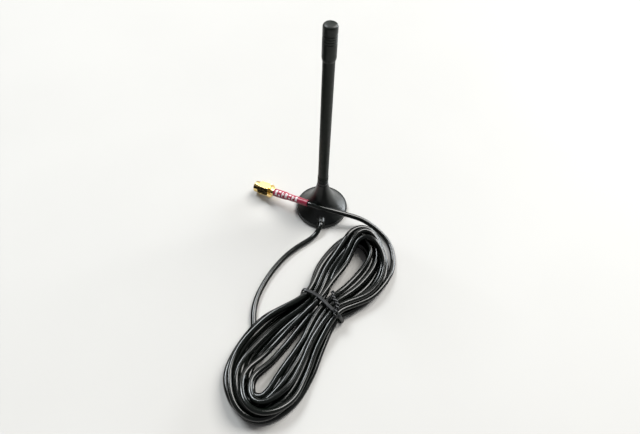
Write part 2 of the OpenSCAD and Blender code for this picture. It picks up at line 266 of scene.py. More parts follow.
def near_pairs(x, free, reach):
    """The pairs of segments, at least 4 apart along the cord, whose middles are within reach."""
    middle = (x[1:] + x[:-1]) / 2
    square = (middle * middle).sum(1)
    apart = square[:, None] + square[None, :] - 2 * middle @ middle.T
    first, second = np.where(np.triu(apart < reach ** 2, 4))
    moving = free[first] | free[second] | free[first + 1] | free[second + 1]
    return first[moving], second[moving]


def keep_length(x, rest):
    """The moves that bring each segment back towards its own length."""
    stiffness, inner_share = 0.45, 0.6
    step = x[1:] - x[:-1]
    size = np.linalg.norm(step, axis=1)
    fix = (stiffness * (size - rest) / size)[:, None] * step
    move = np.zeros_like(x)
    move[:-1] += fix
    move[1:] -= fix
    move[1:-1] *= inner_share
    return move


def part_turns(x, first, second):
    """The moves that push apart the turns that are in each other."""
    p1, q1, p2, q2 = x[first], x[first + 1], x[second], x[second + 1]
    s, t = nearest_on(p1, q1, p2, q2)
    gap = p1 + s[:, None] * (q1 - p1) - p2 - t[:, None] * (q2 - p2)
    size = np.linalg.norm(gap, axis=1)
    hit = size < CABLE_D
    i, j, s, t = first[hit], second[hit], s[hit], t[hit]
    push = ((CABLE_D - size[hit]) / np.maximum(size[hit], 1e-9) / 2)[:, None] * gap[hit]
    return spread(len(x), [(i, 1 - s, push), (i + 1, s, push), (j, 1 - t, -push), (j + 1, t, -push)])


def stay_in_tie(x, free, along):
    """Keeps the free points above the floor and the tie's band, and between the tie's sides."""
    under_tie, band_length, seen_width = 0.004, 0.0045, 0.02
    floor = CABLE_R + (TIE_T + 0.00015) * np.exp(-((along / band_length) ** 4))
    x[:, 2] = np.where(free, np.maximum(x[:, 2], floor), x[:, 2])
    across = (x[:, :2] - HANK_AT) @ HANK_ACROSS
    over = np.where((np.abs(along) < under_tie) & free & (np.abs(across) < seen_width),
                    np.abs(across) - TIE_HALF, 0)
    x[:, :2] -= 0.5 * (np.maximum(over, 0) * np.sign(across))[:, None] * HANK_ACROSS


def settle(x, free, rest, rounds):
    """Lets a tower of turns sink under its weight until the cord's turns lie on and beside each other.

    In the last rounds the weight and the pull to the plan fade, so that only contact is left.
    """
    fall, hold, faded, fade_from, refresh = 0.00022, 0.1, 0.96, 0.72, 8
    push_gain, margin = 1.15, 0.0016
    bending = ((1, 0.35), (3, 0.2), (1, 0.35))
    target = x[:, :2].copy()
    along = (x[:, :2] - HANK_AT) @ HANK_ALONG
    pull = 1 + 1.2 * np.exp(-((along / 0.006) ** 2))
    loose = free.astype(float)[:, None]
    for turn in range(rounds):
        late = max(0, (turn / rounds - fade_from) / 0.28)
        if turn % refresh == 0:
            first, second = near_pairs(x, free, CABLE_D + rest + margin)
        along = (x[:, :2] - HANK_AT) @ HANK_ALONG
        near_tie = np.exp(-((along / 0.009) ** 2))
        x[:, 2] -= fall * (1 - late) ** 3 * (1 + near_tie) * loose[:, 0]
        x[:, :2] += hold * (1 - faded * late) * (target - x[:, :2]) * pull[:, None] * loose
        for reach, strength in bending:
            off = x.copy()
            off[:, :2] -= target
            x += strength * unbent(off, reach) * loose
        for _ in range(2):
            x += keep_length(x, rest) * loose
        for _ in range(2):
            x += push_gain * loose * part_turns(x, first, second)
        x[:, :2] += keep_clear(x[:, :2]) * loose
        stay_in_tie(x, free, along)
    return x


def smooth(x, free, rounds):
    """Takes the last small kinks out of the stretches marked free."""
    for _ in range(rounds):
        x += 0.5 * unbent(x, 1) * free[:, None]
    return x


def plug_point(x):
    """The point of the plug's axis at x from its nut's back face."""
    return Vector(PLUG_AT) + x * Vector((
        math.cos(PLUG_HEADING) * math.cos(PLUG_DIP),
        math.sin(PLUG_HEADING) * math.cos(PLUG_DIP),
        -math.sin(PLUG_DIP),
    ))


def cord_line():
    """The whole cord's centre line, from inside the base to inside the plug's ferrule."""
    step, storey, rounds = 0.0025, 0.0033, 700
    held_at_exit, held_at_lead, clearance = 3, 3, 0.00003
    ending = [tuple(plug_point(x)) for x in (-0.0285, -0.0225, -0.011)]
    lead = LEAD_ROUTE + ending
    run = [(x, y, -1) for x, y, _ in EXIT_ROUTE]
    back = [(x, y, len(LOWER_NEST) - 0.4) for x, y, _ in lead]
    way_out = hank_point(0.020, 0.0192, len(LOWER_NEST) - 0.5)
    plan = spline(run + hank_turns() + [way_out] + back, step)
    rest = np.linalg.norm(np.diff(plan[:, :2], axis=0), axis=1).mean()
    x = plan.copy()
    x[:, 2] = CABLE_R + np.clip(plan[:, 2], 0, None) * storey
    free = np.ones(len(x), bool)
    half = len(x) // 2
    for route, part, kept, offset in (
        (np.array(EXIT_ROUTE), slice(0, half), slice(0, -held_at_exit), 0),
        (np.array(lead), slice(half, None), slice(held_at_lead, None), half),
    ):
        near = [np.argmin(np.hypot(*(x[part, :2] - point[:2]).T)) + offset for point in route[kept]]
        fixed = slice(near[0], near[-1] + 1)
        x[fixed, 2] = np.interp(np.arange(near[0], near[-1] + 1), near, route[kept][:, 2])
        free[fixed] = False
    x = smooth(settle(x, free, rest, rounds), free, 2)
    runs = np.convolve(~free, np.ones(9), "same") > 0
    runs[:5] = runs[-5:] = False
    x = smooth(x, runs, 12)
    x[:, 2] = np.maximum(x[:, 2], CABLE_R + clearance)
    return x


# ---------------------------------------------------------------- mesh tools


def add_object(name, data, material):
    """A new object with this data in the scene."""
    obj = bpy.data.objects.new(name, data)
    bpy.context.scene.collection.objects.link(obj)
    data.materials.append(material)
    return obj


def mesh_object(name, points, faces, material, smooth_angle=35):
    """A mesh object whose edges sharper than the angle stay sharp."""
    mesh = bpy.data.meshes.new(name)
    mesh.from_pydata([tuple(p) for p in points], [], faces)
    mesh.validate()
    mesh.shade_smooth()
    obj = add_object(name, mesh, material)
    mesh.set_sharp_from_angle(angle=math.radians(smooth_angle))
    return obj


def grid_faces(rows, columns, first=0):
    """Quads between rows of a ring of columns, each row closed on itself."""
    return [
        (first + i * columns + k, first + (i + 1) * columns + k,
         first + (i + 1) * columns + (k + 1) % columns, first + i * columns + (k + 1) % columns)
        for i in range(rows - 1) for k in range(columns)
    ]


def rounded(outline, closed=True):
    """An outline of (radius, height, rounding) with each rounded corner turned into a short arc."""
    out = []
    count = len(outline)
    for i, (r, z, rounding) in enumerate(outline):
        here = Vector((r, z))
        if not rounding or (not closed and i in (0, count - 1)):
            out.append((r, z))
            continue
        before, after = (Vector(outline[(i + k) % count][:2]) for k in (-1, 1))
        start = here + (before - here).normalized() * min(rounding, 0.45 * (before - here).length)
        end = here + (after - here).normalized() * min(rounding, 0.45 * (after - here).length)
        for share in (0, 0.25, 0.5, 0.75, 1):
            p = start.lerp(here, share).lerp(here.lerp(end, share), share)
            out.append((p.x, p.y))
    return out


def lathe(name, outline, material, steps=144, shape=None, smooth_angle=35):
    """A solid of revolution about Z from its closed outline of (radius, height), in metres.

    A radius of 0 is a pole. shape(radius, height, angle) may change a radius, as flats or threads do.
    """
    points, rings = [], []
    for r, z in outline:
        rings.append((len(points), r == 0))
        for k in range(1 if r == 0 else steps):
            angle = 2 * math.pi * k / steps
            out = shape(r, z, angle) if shape else r
            points.append((out * math.cos(angle), out * math.sin(angle), z))
    faces = []
    for (low, low_pole), (high, high_pole) in zip(rings, rings[1:] + rings[:1]):
        for k in range(steps):
            after = (k + 1) % steps
            if low_pole and not high_pole:
                faces.append((low, high + after, high + k))
            elif high_pole and not low_pole:
                faces.append((low + k, low + after, high))
            elif not low_pole:
                faces.append((low + k, low + after, high + after, high + k))
    return outward(mesh_object(name, points, faces, material, smooth_angle))


def dense(outline, step):
    """Adds points along an outline's long edges."""
    out = []
    for (r0, z0), (r1, z1) in zip(outline, outline[1:] + outline[:1]):
        count = max(1, int(math.hypot(r1 - r0, z1 - z0) / step))
        out += [(mix((r0, r1), k / count), mix((z0, z1), k / count)) for k in range(count)]
    return out


def along_plug(obj):
    """Places a piece made along +Z, with its zero at the nut's back face, on the plug's axis."""
    turn = Matrix.Rotation(PLUG_HEADING, 4, "Z") @ Matrix.Rotation(PLUG_DIP + math.pi / 2, 4, "Y")
    obj.data.transform(Matrix.Translation(PLUG_AT) @ turn)
    return obj


# ---------------------------------------------------------------- materials


class Look:
    """A Principled material that gets its variation from procedural nodes in object space."""

    def __init__(self, name, colour, roughness, metallic=0.0, specular=0.5, **sockets):
        self.material = bpy.data.materials.new(name)
        self.material.use_nodes = True
        self.nodes = self.material.node_tree.nodes
        self.links = self.material.node_tree.links
        self.shader = self.nodes["Principled BSDF"]
        self.colour = colour
        self.roughness = roughness
        self.set("Base Color", (*colour, 1))
        self.set("Roughness", roughness)
        self.set("Metallic", metallic)
        self.set("Specular IOR Level", specular)
        for key, value in sockets.items():
            self.set(key.replace("_", " "), value)
        self.height = None
        coordinates = self.nodes.new("ShaderNodeTexCoord")
        self.place = coordinates.outputs["Object"]

    def set(self, socket, value):
        """Sets one of the shader's own sockets."""
        self.shader.inputs[socket].default_value = value

    def stretched(self, scale):
        """Object coordinates scaled by axis, so that a pattern can run along a piece."""
        mapping = self.nodes.new("ShaderNodeMapping")
        mapping.vector_type = "TEXTURE"
        mapping.inputs["Scale"].default_value = scale
        self.links.new(self.place, mapping.inputs["Vector"])
        return mapping.outputs["Vector"]

    def noise(self, scale, detail=4, place=None):
        """A noise value over the surface."""
        node = self.nodes.new("ShaderNodeTexNoise")
        node.inputs["Scale"].default_value = scale
        node.inputs["Detail"].default_value = detail
        self.links.new(place or self.place, node.inputs["Vector"])
        return node.outputs["Fac"]

    def ramp(self, value, stops):
        """A colour ramp from (place, colour) stops."""
        node = self.nodes.new("ShaderNodeValToRGB")
        ramp = node.color_ramp
        while len(ramp.elements) < len(stops):
            ramp.elements.new(0.5)
        for element, (at, colour) in zip(ramp.elements, stops):
            element.position = at
            element.color = (*colour, 1)
        self.links.new(value, node.inputs["Fac"])
        return node.outputs["Color"]

    def ranged(self, value, low, high, to_low, to_high):
        """A value moved from one range into another."""
        node = self.nodes.new("ShaderNodeMapRange")
        ends = {"From Min": low, "From Max": high, "To Min": to_low, "To Max": to_high}
        for socket, number in ends.items():
            node.inputs[socket].default_value = number
        self.links.new(value, node.inputs["Value"])
        return node.outputs["Result"]

    def tint(self, value, stops):
        """Colours the surface from a value."""
        self.links.new(self.ramp(value, stops), self.shader.inputs["Base Color"])
        return self

    def mottle(self, scale, amount, detail=5, place=None):
        """Makes the base colour a little lighter and darker in patches."""
        dark = tuple(c * (1 - amount) for c in self.colour)
        light = tuple(min(1, c * (1 + amount)) for c in self.colour)
        return self.tint(self.noise(scale, detail, place), [(0.3, dark), (0.7, light)])

    def polish(self, scale, spread_by, detail=4, place=None):
        """Varies the roughness round its own value."""
        value = self.ranged(self.noise(scale, detail, place), 0.3, 0.7,
                            max(0.02, self.roughness - spread_by), min(1, self.roughness + spread_by))
        self.links.new(value, self.shader.inputs["Roughness"])
        return self

    def bump(self, value, distance, strength=1.0):
        """Raises the surface by a value times a distance in metres."""
        node = self.nodes.new("ShaderNodeBump")
        node.inputs["Distance"].default_value = distance
        node.inputs["Strength"].default_value = strength
        self.links.new(value, node.inputs["Height"])
        if self.height is not None:
            self.links.new(self.height, node.inputs["Normal"])
        self.height = node.outputs["Normal"]
        self.links.new(self.height, self.shader.inputs["Normal"])
        return self

    def grain(self, scale, distance, detail=3, place=None):
        """Raises the surface by noise."""
        return self.bump(self.noise(scale, detail, place), distance)


def moulded_black():
    look = Look("base_plastic", (0.0022, 0.0034, 0.0026), 0.35, specular=0.5)
    look.mottle(90, 0.25).polish(260, 0.06)
    return look.grain(2600, 0.000006).grain(140, 0.00003, 2).material


def whip_rubber():
    look = Look("whip_rubber", (0.0034, 0.0064, 0.0034), 0.46, specular=0.28)
    look.mottle(220, 0.3).polish(500, 0.08)
    return look.grain(3800, 0.00002).grain(420, 0.00003, 2, look.stretched((1, 1, 5))).material


def cap_plastic():
    look = Look("cap_plastic", (0.0044, 0.0068, 0.0042), 0.42, specular=0.34)
    look.mottle(260, 0.25).polish(420, 0.07)
    return look.grain(3000, 0.000015).material


def cable_jacket():
    look = Look("cable_jacket", (0.0013, 0.0022, 0.0014), 0.17, specular=0.45)
    look.mottle(120, 0.3).polish(300, 0.05)
    return look.grain(1200, 0.000003).grain(150, 0.00003, 2).material


def tie_plastic():
    look = Look("tie_plastic", (0.0065, 0.0070, 0.0075), 0.34, specular=0.45)
    look.mottle(400, 0.3).polish(600, 0.08)
    return look.grain(900, 0.00004).material


def marker_red():
    look = Look("marker_red", (0.30, 0.016, 0.044), 0.36, Coat_Weight=0.15, Coat_Roughness=0.25)
    look.tint(look.noise(380, 4), [(0.3, (0.22, 0.009, 0.028)), (0.72, (0.36, 0.024, 0.060))])
    look.polish(500, 0.07)
    return look.grain(700, 0.00005).material


def marker_print():
    look = Look("marker_print", (0.64, 0.60, 0.60), 0.5)
    look.tint(look.noise(1400, 3), [(0.32, (0.46, 0.26, 0.29)), (0.46, (0.64, 0.60, 0.60))])
    look.polish(600, 0.08)
    return look.material


def gold_plate():
    look = Look("gold_plate", (0.90, 0.66, 0.27), 0.17, metallic=1.0)
    look.tint(look.noise(260, 3), [(0.3, (0.89, 0.65, 0.26)), (0.7, (0.92, 0.69, 0.30))])
    look.polish(900, 0.03)
    return look.grain(2400, 0.000002).material


def metal(name, colour, roughness, brushed=None):
    """A bare metal. If a stretch is given, its brushing runs along that."""
    look = Look(name, colour, roughness, metallic=1.0)
    look.mottle(300, 0.12).polish(900, 0.08, place=brushed and look.stretched(brushed))
    return look.grain(2600, 0.00001, place=brushed and look.stretched(brushed)).material


def moulded(name, colour, roughness):
    """A plain moulded plastic or rubber."""
    look = Look(name, colour, roughness)
    look.mottle(400, 0.1).polish(700, 0.08)
    return look.grain(1800, 0.00002).material


MATERIALS = {
    "base_plastic": moulded_black(),
    "whip_rubber": whip_rubber(),
    "cap_plastic": cap_plastic(),
    "cable_jacket": cable_jacket(),
    "tie_plastic": tie_plastic(),
    "marker_red": marker_red(),
    "gold_plate": gold_plate(),
    "brass": metal("brass", (0.72, 0.50, 0.20), 0.3, (1, 1, 8)),
    "steel": metal("steel", (0.60, 0.61, 0.63), 0.32, (6, 1, 1)),
    "magnet": metal("magnet", (0.36, 0.36, 0.37), 0.42),
    "copper": metal("copper", (0.80, 0.42, 0.24), 0.28, (1, 1, 6)),
    "pad_vinyl": moulded("pad_vinyl", (0.020, 0.020, 0.022), 0.62),
    "insulator": moulded("insulator", (0.82, 0.81, 0.76), 0.45),
    "gasket_rubber": moulded("gasket_rubber", (0.52, 0.12, 0.06), 0.55),
}
SLOT_OF = {part["node"]: part["material_slot"] for part in frame["record"]["subparts"]}


def dress_frame():
    """Gives each CAD node that still shows the material of its slot."""
    for name, node in frame["nodes"].items():
        for k in range(max(1, len(node.material_slots))):
            if not node.material_slots:
                node.data.materials.append(MATERIALS[SLOT_OF[name]])
            node.material_slots[k].material = MATERIALS[SLOT_OF[name]]


def stands_for(obj, node, body="root"):
    """A piece takes the place of a CAD node: it rides on the given body, and the node is hidden."""
    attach(obj, body)
    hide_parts(node)
    return obj


# ---------------------------------------------------------------- camera, floor and light


def place_camera():
    """A phone's camera over the front of the object, as the photograph was taken."""
    camera = bpy.data.cameras.new("camera")
    camera.lens = 28
    camera.sensor_width = 36
    camera.clip_start = 0.01
    pitch, yaw, roll = (math.radians(a) for a in (54.15, -0.22, 2.67))
    forward = Vector((math.sin(yaw) * math.cos(pitch), math.cos(yaw) * math.cos(pitch), -math.sin(pitch)))
    level = Vector((math.cos(yaw), -math.sin(yaw), 0))
    above = level.cross(forward)
    right = math.cos(roll) * level + math.sin(roll) * above
    up = -math.sin(roll) * level + math.cos(roll) * above
    obj = bpy.data.objects.new("camera", camera)
    place = Matrix.Translation((0, -0.186784, 0.248412))
    obj.matrix_world = place @ Matrix((right, up, -forward)).transposed().to_4x4()
    bpy.context.scene.collection.objects.link(obj)
    bpy.context.scene.camera = obj


def soft_light(name, place, target, size, power, colour):
    """A rectangular panel of light that faces a target."""
    light = bpy.data.lights.new(name, "AREA")
    light.shape = "RECTANGLE"
    light.size, light.size_y = size
    light.energy = power
    light.color = colour
    obj = bpy.data.objects.new(name, light)
    obj.location = place
    obj.rotation_euler = (Vector(target) - Vector(place)).to_track_quat("-Z", "Y").to_euler()
    bpy.context.scene.collection.objects.link(obj)


def dark_card(near, far, width, height):
    """A folded black card that only reflections see: flat from near to far, then upright."""
    near, far = Vector(near), Vector(far)
    side = (far - near).normalized().cross(Vector((0, 0, 1))) * width / 2
    rows = (near, far, far + Vector((0, 0, height)))
    corners = [row + side * sign for row in rows for sign in (-1, 1)]
    look = Look("black_card", (0.004, 0.004, 0.004), 0.9, specular=0)
    look.mottle(20, 0.2)
    card = mesh_object("black_card", corners, [(0, 1, 3, 2), (2, 3, 5, 4)], look.material)
    card.visible_camera = card.visible_diffuse = card.visible_shadow = False


def set_the_stage():
    """A plain pale table, three window-like panels, a pale wall, a dark card and a soft room."""
    look = Look("table", (0.48, 0.471, 0.455), 0.55, specular=0.15)
    look.mottle(12, 0.012)
    half = 8
    corners = [(-half, -half, 0), (half, -half, 0), (half, half, 0), (-half, half, 0)]
    mesh_object("table", corners, [(0, 1, 2, 3)], look.material)
    middle = (0, -0.03, 0)
    sky, cool = (0.92, 0.97, 1.0), (0.90, 0.96, 1.0)
    soft_light("window", (1.76, 1.50, 2.72), middle, (1.80, 2.00), 160, (1.0, 0.985, 0.955))
    soft_light("low_window", (2.40, 2.00, 0.56), (0, -0.02, 0.01), (2.10, 1.00), 118, cool)
    soft_light("skylight", (-1.50, 1.58, 2.90), middle, (1.30, 1.00), 105, sky)
    soft_light("pale_wall", (-0.90, 1.95, 1.36), (-0.03, 0.01, 0), (1.50, 1.10), 9, (1.0, 0.99, 0.97))
    dark_card((-0.063, -0.005, 0.0006), (-0.165, -0.058, 0.0006), 0.16, 0.09)
    world = bpy.data.worlds.new("room")
    world.use_nodes = True
    background = world.node_tree.nodes["Background"]
    background.inputs["Color"].default_value = (0.95, 0.97, 1.0, 1)
    background.inputs["Strength"].default_value = 0.21
    bpy.context.scene.world = world
    bpy.context.scene.view_settings.view_transform = "Standard"


# ---------------------------------------------------------------- cord


def lay_cord():
    """The cable as one spline along its line."""
    line = spline3(cord_line(), 0.001)
    curve = bpy.data.curves.new("antenna_cable", "CURVE")
    curve.dimensions = "3D"
    curve.bevel_depth = CABLE_R
    curve.bevel_resolution = 5
    curve.use_fill_caps = True
    spline = curve.splines.new("POLY")
    spline.points.add(len(line) - 1)
    spline.points.foreach_set("co", np.hstack([line, np.ones((len(line), 1))]).ravel())
    obj = add_object("antenna_cable", curve, MATERIALS["cable_jacket"])
    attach(obj, "root")
    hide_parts("cable_exit_run", "cable_hank", "cable_lead_run")
    return obj, line


# ---------------------------------------------------------------- base

RIM_TOP = 0.0023
FLARE_FOOT = 0.0148
FLARE_LEAST = 0.00305
FLARE_TOP = 0.030
NECK_Z = 0.024
NECK_R = 0.00315
SOCKET_R = 0.0023
CEILING = 0.012
BOSS_Z = 0.0043
BOSS_R = 0.00225
BOSS_Y = 0.0152


def flare(z):
    """Radius of the flared skirt at height z."""
    share = max(0, FLARE_TOP - z) / (FLARE_TOP - RIM_TOP - 0.0001)
    return FLARE_LEAST + (FLARE_FOOT - FLARE_LEAST) * share ** 2.5


def base_shell():
    """The moulded cover: rim, flared skirt and the ringed neck that the whip stands on."""
    wall = 0.0019
    skirt = [(flare(z), z, 0) for z in np.linspace(RIM_TOP + 0.0001, NECK_Z - 0.0002, 60)]
    inside = [(flare(z + wall) - 0.0001, z, 0) for z in np.linspace(CEILING, 0.002, 24)]
    top = JOINT_Z - 0.0002
    outline = rounded(
        [(SOCKET_R, CEILING, 0), (SOCKET_R, top, 0), (NECK_R - 0.0003, top, 0.0001),
         (NECK_R - 0.00025, top - 0.00025, 0.0001), (NECK_R, top - 0.0004, 0.00015),
         (NECK_R, NECK_Z + 0.0006, 0.0002), (NECK_R - 0.00018, NECK_Z + 0.0003, 0.0001),
         (flare(NECK_Z) + 0.00002, NECK_Z + 0.00005, 0.0001)]
        + skirt[::-1]
        + [(FLARE_FOOT + 0.0001, RIM_TOP - 0.0002, 0.0001),
           (FLARE_FOOT + 0.00035, RIM_TOP - 0.0002, 0.0001),
           (FLARE_FOOT + 0.0005, RIM_TOP, 0.00015), (RIM_R - 0.0001, RIM_TOP, 0.00035),
           (RIM_R, 0.00035, 0.0004), (RIM_R - 0.0016, 0.00036, 0.0001), (RIM_R - 0.0016, 0.0016, 0.0003)]
        + inside[::-1]
    )
    return lathe("base_shell", outline, MATERIALS["base_plastic"], steps=192, smooth_angle=40)


def boss_edge(angle):
    """How far the boss reaches from the cable's axis: round above, straight-sided below."""
    c, s = math.cos(angle), math.sin(angle)
    if s >= 0:
        return BOSS_R
    drop = BOSS_Z - RIM_TOP + 0.0003
    return min(BOSS_R / max(abs(c), 1e-6), drop / abs(s))


def boss_fillet(x, z, y):
    """How much wider the boss is at y, where it runs into the skirt."""
    blend = 0.0016
    skirt = math.sqrt(max(0, flare(z) ** 2 - x * x))
    share = min(1.6, max(0, (skirt + 0.7 * blend - y) / blend))
    return 0.0007 * share * share


def cable_boss():
    """The boss that the cable leaves the base by, blended into the skirt."""
    steps, edge, inner_end, bore = 96, 0.0003, 0.0095, 0.00162
    rings = [(y, 0) for y in np.linspace(inner_end, BOSS_Y - edge, 40)]
    rings += [(BOSS_Y - edge + edge * math.sin(a), edge * (1 - math.cos(a)))
              for a in np.linspace(0.3, math.pi / 2, 5)]
    around = [2 * math.pi * k / steps for k in range(steps)]
    points = []
    for y, inset in rings:
        for angle in around:
            c, s = math.cos(angle), math.sin(angle)
            reach = boss_edge(angle)
            reach += boss_fillet(reach * c, BOSS_Z + reach * s, y) - inset
            points.append((reach * c, -y, max(RIM_TOP - 0.0003, BOSS_Z + reach * s)))
    for radius, y in ((0.0018, BOSS_Y), (0.00168, BOSS_Y - 0.0001), (bore, BOSS_Y - 0.0003),
                      (bore, BOSS_Y - 0.003)):
        points += [(radius * math.cos(a), -y, BOSS_Z + radius * math.sin(a)) for a in around]
    rows = len(points) // steps
    faces = grid_faces(rows, steps)
    faces.append(tuple(range(steps)))
    faces.append(tuple(range((rows - 1) * steps, rows * steps))[::-1])
    return outward(mesh_object("cable_boss", points, faces, MATERIALS["base_plastic"], 40))


def build_base():
    """The cover, the boss moulded on it and the pad under it."""
    stands_for(base_shell(), "base_cover")
    boss = cable_boss()
    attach(boss, "root")
    radius, _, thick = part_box("base_pad")[1]
    outline = rounded([(0, 0, 0), (radius, 0, 0.0001), (radius, thick, 0.0001), (0, thick, 0)])
    stands_for(lathe("base_pad_vinyl", outline, MATERIALS["pad_vinyl"], 128), "base_pad")


# ---------------------------------------------------------------- whip

WHIP_R = 0.00295
WHIP_BORE = 0.0019
COLLAR_R = 0.00312
CAP_R = 0.00342


def whip_sleeve():
    """The whip's tube, with two rings at its foot."""
    z = JOINT_Z
    top = SLEEVE[1][2]
    outline = rounded([
        (WHIP_BORE, z, 0), (COLLAR_R - 0.0002, z, 0.0001), (COLLAR_R, z + 0.0003, 0.0002),
        (COLLAR_R, z + 0.0023, 0.0002), (COLLAR_R - 0.0003, z + 0.0026, 0.00015),
        (COLLAR_R - 0.0003, z + 0.003, 0.00015), (COLLAR_R, z + 0.0032, 0.0002),
        (COLLAR_R, z + 0.0036, 0.0002), (WHIP_R, z + 0.0039, 0.0002), (WHIP_R, top, 0),
        (WHIP_BORE, top, 0)])
    return lathe("whip_tube", dense(outline, 0.004), MATERIALS["whip_rubber"], 128)


def whip_cap():
    """The tip cap, with four grooves and a softly crowned top."""
    low, top, sleeve_top = CAP[0][2], TOP_Z, SLEEVE[1][2]
    bore_top, fit = low + 0.013, WHIP_R + 0.00004
    count, first, pitch, depth, half_mouth, half_floor = 4, 0.0047, 0.0013, 0.00025, 0.00034, 0.00018
    outline = [(fit, low, 0), (WHIP_R + 0.0001, low, 0.00005), (CAP_R, low + 0.0015, 0.0005)]
    for k in reversed(range(count)):
        middle = top - first - k * pitch
        outline += [(CAP_R, middle - half_mouth, 0.00012), (CAP_R - depth, middle - half_floor, 0.0001),
                    (CAP_R - depth, middle + half_floor, 0.0001), (CAP_R, middle + half_mouth, 0.00012)]
    outline += [
        (CAP_R, top - 0.0013, 0.0005), (CAP_R - 0.00025, top - 0.0006, 0.0003),
        (CAP_R - 0.0009, top - 0.0002, 0.0004), (0.0015, top - 0.00004, 0), (0, top, 0), (0, bore_top, 0),
        (WHIP_BORE, bore_top, 0), (WHIP_BORE, sleeve_top, 0), (fit, sleeve_top, 0)]
    return lathe("whip_cap_moulding", rounded(outline), MATERIALS["cap_plastic"], 128, smooth_angle=50)


def build_whip():
    """The tube and the cap, which turn and rise with the whip."""
    stands_for(whip_sleeve(), "whip_sleeve", "whip")
    stands_for(whip_cap(), "whip_cap", "whip")


# ---------------------------------------------------------------- plug

NUT_FLAT = 0.004
NUT_HEX = 0.0077
NUT_LENGTH = 0.0114
NUT_COLLAR_R = 0.00355
THREAD_R = 0.0028
THREAD_PITCH = 0.0007
THREAD_WAVE = 0.0001
PLUG_FACE = 0.0086
MARKER_X = -0.003
MARKER_END = -0.0275


def nut_radius(r, z, angle):
    """Six flats on the nut's outside and a thread in its bore."""
    if r > NUT_COLLAR_R + 0.0002 and z <= NUT_HEX + 0.00001:
        sixth = math.pi / 3
        return min(r, NUT_FLAT / math.cos((angle + sixth / 2) % sixth - sixth / 2))
    if abs(r - THREAD_R) < 0.00001 and 0.0035 < z < NUT_LENGTH - 0.0005:
        return THREAD_R + THREAD_WAVE * (1 + math.cos(2 * math.pi * z / THREAD_PITCH - angle))
    return r


def plug_nut():
    """The coupling nut: its hexagon, the round collar in front, and the threaded bore."""
    back_bore, pocket, flange = 0.00215, 0.00295, 0.00225
    corner, chamfer = NUT_FLAT / math.cos(math.pi / 6), 0.00045
    outside = rounded([
        (back_bore, 0, 0), (corner - chamfer, 0, 0), (corner - 0.00004, chamfer * 1.1, 0.0001),
        (corner - 0.00004, NUT_HEX - chamfer * 1.1, 0.0001), (corner - chamfer, NUT_HEX, 0),
        (NUT_COLLAR_R + 0.0001, NUT_HEX, 0), (NUT_COLLAR_R, NUT_HEX + 0.0001, 0),
        (NUT_COLLAR_R, NUT_LENGTH - 0.0003, 0.0001), (NUT_COLLAR_R - 0.0003, NUT_LENGTH, 0.0001),
        (THREAD_R + 0.0003, NUT_LENGTH, 0.0001), (THREAD_R, NUT_LENGTH - 0.0003, 0.0001),
        (THREAD_R, 0.0033, 0), (pocket, 0.0033, 0), (pocket, flange, 0), (back_bore, flange, 0)])
    gold = MATERIALS["gold_plate"]
    return lathe("plug_coupling_nut", dense(outside, 0.00009), gold, 180, nut_radius, 28)


def plug_shell():
    """The plug's body, from its crimp to its front face."""
    face, shell = PLUG_FACE, 0.002295
    outline = rounded([
        (0.00075, -0.008, 0), (0.0013, -0.008, 0), (0.0013, MARKER_X, 0), (0.0025, MARKER_X, 0.00015),
        (0.0025, -0.00015, 0.00015), (0.0021, -0.00015, 0), (0.0021, 0.0034, 0), (shell, 0.0034, 0),
        (shell, face - 0.0002, 0.0001), (shell - 0.00015, face, 0.0001), (0.0019, face, 0.00005),
        (0.0019, 0.0034, 0), (0.00155, 0.0034, 0), (0.00155, -0.0015, 0), (0.00075, -0.0015, 0)])
    return lathe("plug_body", outline, MATERIALS["gold_plate"], 128)


def plug_pin():
    """The centre contact, thicker inside the insulator."""
    root, pin, face = 0.000635, 0.000457, PLUG_FACE
    outline = rounded([
        (0, -0.0015, 0), (root, -0.0015, 0), (root, face, 0.00008), (pin, face, 0),
        (pin, face + 0.0019, 0.0001), (pin - 0.00025, face + 0.0023, 0.00018), (0, face + 0.0023, 0)])
    return lathe("plug_contact", outline, MATERIALS["gold_plate"], 64)


def is_print(x, angle):
    """Where the sleeve's printed marks are: a row of plain bars that spell nothing."""
    pitch, first, count, spread_angle = 0.0024, -0.0046, 7, math.radians(42)
    centre = math.radians(148)
    turn = abs((angle - centre + math.pi) % (2 * math.pi) - math.pi)
    place = (first - x) / pitch
    if not 0 <= place < count or turn > spread_angle:
        return False
    bar, inside = int(place), place % 1
    if bar % 3 == 1:
        return inside < 0.62 and turn > spread_angle * 0.42
    if bar % 3 == 2:
        return inside < 0.3 or (inside < 0.62 and turn < spread_angle * 0.3)
    return inside < 0.62


